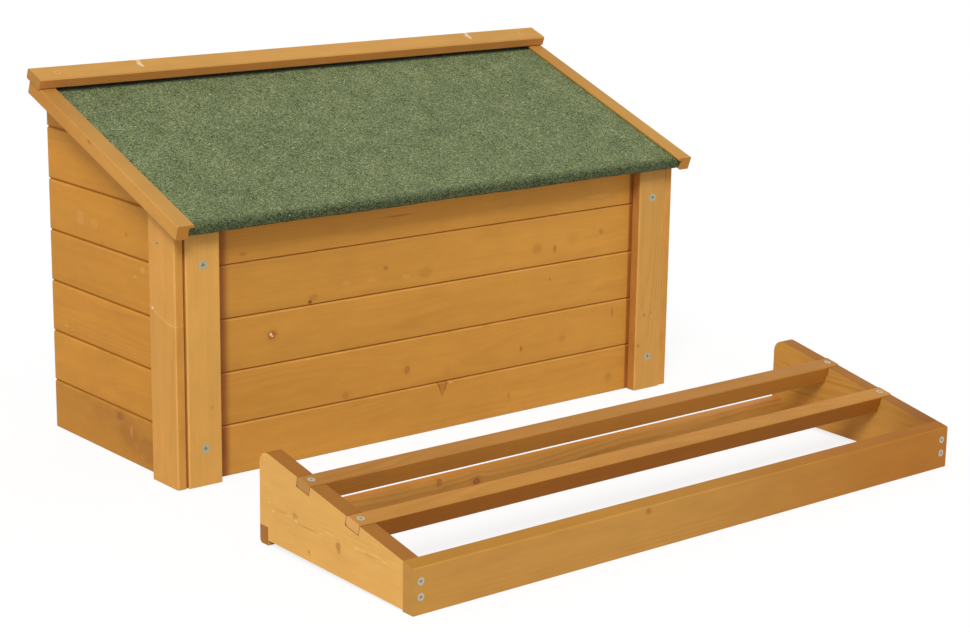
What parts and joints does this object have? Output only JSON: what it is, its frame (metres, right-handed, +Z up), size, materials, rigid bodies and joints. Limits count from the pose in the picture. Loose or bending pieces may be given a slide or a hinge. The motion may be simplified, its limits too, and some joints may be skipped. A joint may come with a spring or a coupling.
{
  "type": "chicken nesting box",
  "caption": "Boarded timber nest box for hens with a sloping felted lid hinged at the back, nests open behind, and a low free-standing perch rack in front.",
  "frame": {"origin": "on the ground, under the centre of the whole set's bounding box, box and rack together", "axes": "+X to the right when facing the front wall, +Y to the back where the box meets its wall, +Z up"},
  "size_m": [1.05, 1.0192, 0.5879],
  "materials": {
    "stained_fir": "honey-coloured wood stain, planed and slightly uneven",
    "plain_fir": "planed, thinly stained",
    "plywood": "sanded",
    "mineral_felt": "green mineral granules on bitumen",
    "zinc_plated_steel": "dull zinc plating"
  },
  "bodies": {
    "carcass": {"front_board_1": "stained_fir", "front_board_2": "stained_fir", "front_board_3": "stained_fir", "front_board_4": "stained_fir", "front_board_5": "stained_fir", "left_side_board_1": "stained_fir", "left_side_board_2": "stained_fir", "left_side_board_3": "stained_fir", "left_side_board_4": "stained_fir", "left_side_board_5": "stained_fir", "left_side_board_6": "stained_fir", "left_side_board_7": "stained_fir", "right_side_board_1": "stained_fir", "right_side_board_2": "stained_fir", "right_side_board_3": "stained_fir", "right_side_board_4": "stained_fir", "right_side_board_5": "stained_fir", "right_side_board_6": "stained_fir", "right_side_board_7": "stained_fir", "left_front_post": "stained_fir", "right_front_post": "stained_fir", "left_side_batten": "stained_fir", "right_side_batten": "stained_fir", "left_inner_front_post": "plain_fir", "right_inner_front_post": "plain_fir", "left_inner_back_post": "plain_fir", "right_inner_back_post": "plain_fir", "top_back_rail": "plain_fir", "bedding_board": "plain_fir", "floor_bearers": "plain_fir", "nest_floor": "plywood", "left_nest_divider": "plywood", "right_nest_divider": "plywood", "divider_cleats": "plain_fir", "left_hinge_strap": "zinc_plated_steel", "right_hinge_strap": "zinc_plated_steel", "hinge_pins": "zinc_plated_steel", "front_post_screws": "zinc_plated_steel", "side_batten_screws": "zinc_plated_steel", "hinge_strap_screws": "zinc_plated_steel"},
    "lid": {"lid_deck": "plywood", "lid_felt": "mineral_felt", "left_barge_board": "stained_fir", "right_barge_board": "stained_fir", "lid_top_batten": "stained_fir", "left_lid_batten": "plain_fir", "right_lid_batten": "plain_fir", "left_hinge_leaf": "zinc_plated_steel", "right_hinge_leaf": "zinc_plated_steel", "top_batten_screws": "zinc_plated_steel", "hinge_leaf_screws": "zinc_plated_steel"},
    "perch_rack": {"left_rack_side": "stained_fir", "right_rack_side": "stained_fir", "rack_front_rail": "stained_fir", "rack_back_rail": "stained_fir", "front_perch": "stained_fir", "back_perch": "stained_fir", "rack_screws": "zinc_plated_steel"}
  },
  "joints": [
    {"name": "lid_hinge", "type": "hinge", "parent": "carcass", "child": "lid", "pos_m": [0, 0.50664, 0.58371], "axis": [-1, 0, 0], "range_deg": [0, 80]},
    {"name": "perch_rack_lift", "type": "slide", "parent": "carcass", "child": "perch_rack", "axis": [0, 0, 1], "range_m": [0, 0.3]}
  ]
}
